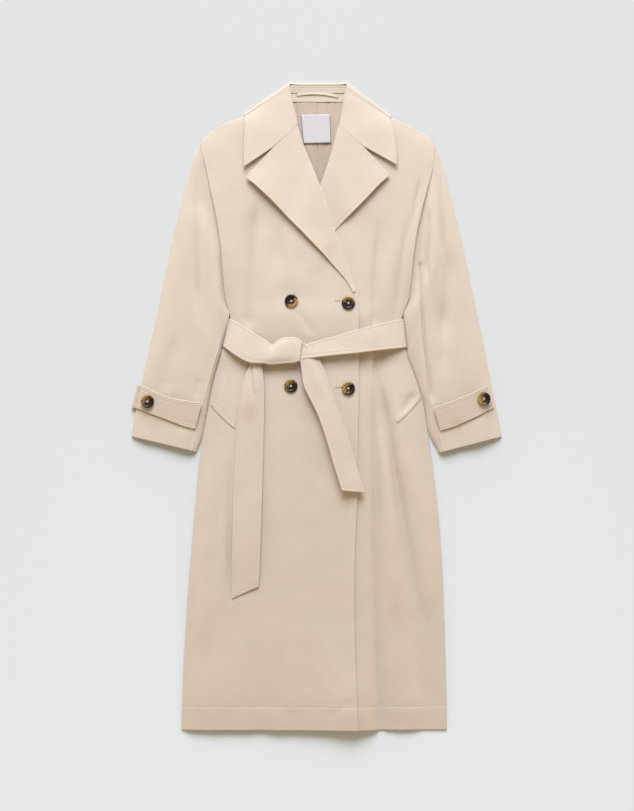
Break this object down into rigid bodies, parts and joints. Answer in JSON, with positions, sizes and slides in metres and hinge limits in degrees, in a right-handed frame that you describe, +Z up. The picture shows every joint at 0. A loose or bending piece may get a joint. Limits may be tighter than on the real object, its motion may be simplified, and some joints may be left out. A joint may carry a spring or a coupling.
{
  "type": "trench coat",
  "caption": "Long trench coat laid flat with its front up, turned collar and wide lapels, double-breasted front, cuff straps and a belt knotted at the waist.",
  "frame": {"origin": "centre of the bounding box, on the floor the coat lies on", "axes": "+X to the wearer's left, +Y from the hem towards the collar, +Z up off the floor, out of the coat's front"},
  "size_m": [0.695, 1.2154, 0.0324],
  "materials": {
    "shell": "fine matt cotton gabardine, pale beige",
    "lining": "smooth lining with a soft sheen",
    "label": "white woven ribbon, blank",
    "button": "glossy dark tortoiseshell"
  },
  "bodies": {
    "root": {"back": "shell", "front_right": "shell", "front_left": "shell", "sleeve_right": "shell", "sleeve_left": "shell", "lapel_right": "shell", "lapel_left": "shell", "collar": "shell", "collar_stand": "shell", "neck_facing": "shell", "hanger_loop": "shell", "lining": "lining", "label": "label", "belt": "shell", "belt_knot": "shell", "belt_end_long": "shell", "belt_end_short": "shell", "cuff_strap_right": "shell", "cuff_strap_left": "shell", "pocket_welt_right": "shell", "pocket_welt_left": "shell", "button_upper_right": "button", "button_upper_left": "button", "button_lower_right": "button", "button_lower_left": "button", "cuff_button_right": "button", "cuff_button_left": "button"}
  },
  "joints": []
}
